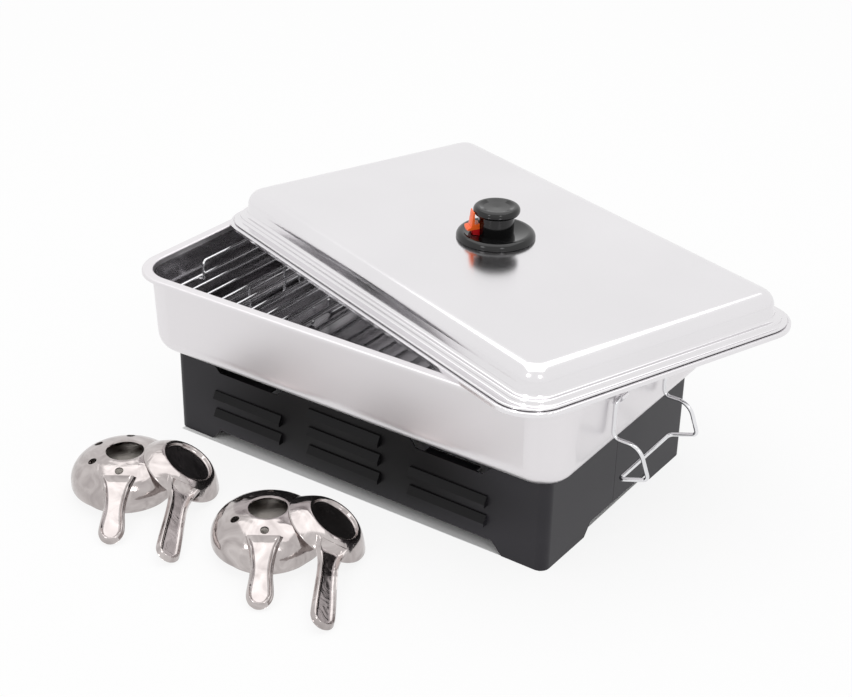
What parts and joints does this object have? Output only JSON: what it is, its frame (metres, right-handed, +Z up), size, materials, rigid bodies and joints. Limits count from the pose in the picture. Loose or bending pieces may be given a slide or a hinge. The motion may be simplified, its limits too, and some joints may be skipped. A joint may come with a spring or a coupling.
{
  "type": "stovetop smoker box",
  "caption": "Table smoker: steel pan with wire racks and a loose domed lid on a black louvred stand, with wire bail handles, spirit burners and snuffer caps.",
  "frame": {"origin": "on the table, under the middle of the whole set's bounding box", "axes": "+X along the stand's long side to the right, +Y away from the front, +Z up"},
  "size_m": [0.5012, 0.5086, 0.2037],
  "materials": {
    "stand_paint": "satin black stove paint",
    "satin_steel": "satin stainless steel",
    "chrome_wire": "bright plated wire",
    "polished_steel": "polished stainless steel",
    "gauze_mesh": "woven steel gauze",
    "wool_pad": "white mineral wool",
    "black_plastic": "glossy black moulded plastic",
    "red_plastic": "glossy red plastic",
    "orange_plastic": "glossy orange plastic"
  },
  "bodies": {
    "stand": {"stand_front_shell": "stand_paint", "stand_rear_shell": "stand_paint"},
    "pan_set": {"pan": "satin_steel", "drip_tray": "satin_steel", "ear_right_front": "satin_steel", "ear_right_rear": "satin_steel", "ear_left_front": "satin_steel", "ear_left_rear": "satin_steel", "low_rack_ring": "chrome_wire", "low_rack_wires": "chrome_wire", "low_rack_legs": "chrome_wire"},
    "top_rack": {"top_rack_ring": "chrome_wire", "top_rack_wires": "chrome_wire", "top_rack_legs": "chrome_wire", "top_rack_grips": "chrome_wire"},
    "lid_set": {"lid": "satin_steel", "knob_base": "black_plastic", "knob_grip": "black_plastic", "knob_bolt": "chrome_wire", "knob_washer": "satin_steel"},
    "vent": {"vent_slide": "red_plastic", "vent_tab": "orange_plastic"},
    "bail_right": {"bail_right": "chrome_wire"},
    "bail_left": {"bail_left": "chrome_wire"},
    "burner_1": {"burner_1_cup": "polished_steel", "burner_1_wool": "wool_pad", "burner_1_gauze": "gauze_mesh", "burner_1_top": "polished_steel"},
    "snuffer_1": {"snuffer_1": "polished_steel"},
    "burner_2": {"burner_2_cup": "polished_steel", "burner_2_wool": "wool_pad", "burner_2_gauze": "gauze_mesh", "burner_2_top": "polished_steel"},
    "snuffer_2": {"snuffer_2": "polished_steel"}
  },
  "joints": [
    {"name": "pan_lift", "type": "slide", "parent": "stand", "child": "pan_set", "axis": [0, 0, 1], "range_m": [0, 0.15]},
    {"name": "lid_lift", "type": "slide", "parent": "pan_set", "child": "lid_set", "axis": [0, 0, 1], "range_m": [0, 0.2]},
    {"name": "top_rack_lift", "type": "slide", "parent": "pan_set", "child": "top_rack", "axis": [0, 0, 1], "range_m": [0, 0.01]},
    {"name": "vent_turn", "type": "hinge", "parent": "lid_set", "child": "vent", "pos_m": [0.01333, 0.0613, 0.18], "axis": [0, 0, 1], "range_deg": [0, 40]},
    {"name": "bail_right_swing", "type": "hinge", "parent": "pan_set", "child": "bail_right", "pos_m": [0.17874, 0.0048, 0.1252], "axis": [0, -1, 0], "range_deg": [0, 80]},
    {"name": "bail_left_swing", "type": "hinge", "parent": "pan_set", "child": "bail_left", "pos_m": [-0.21908, 0.0048, 0.1252], "axis": [0, 1, 0], "range_deg": [0, 80]},
    {"name": "burner_1_lift", "type": "slide", "parent": "stand", "child": "burner_1", "axis": [0, 0, 1], "range_m": [0, 0.1]},
    {"name": "snuffer_1_lift", "type": "slide", "parent": "burner_1", "child": "snuffer_1", "axis": [0, 0, 1], "range_m": [0, 0.08]},
    {"name": "burner_2_lift", "type": "slide", "parent": "stand", "child": "burner_2", "axis": [0, 0, 1], "range_m": [0, 0.1]},
    {"name": "snuffer_2_lift", "type": "slide", "parent": "burner_2", "child": "snuffer_2", "axis": [0, 0, 1], "range_m": [0, 0.08]}
  ]
}
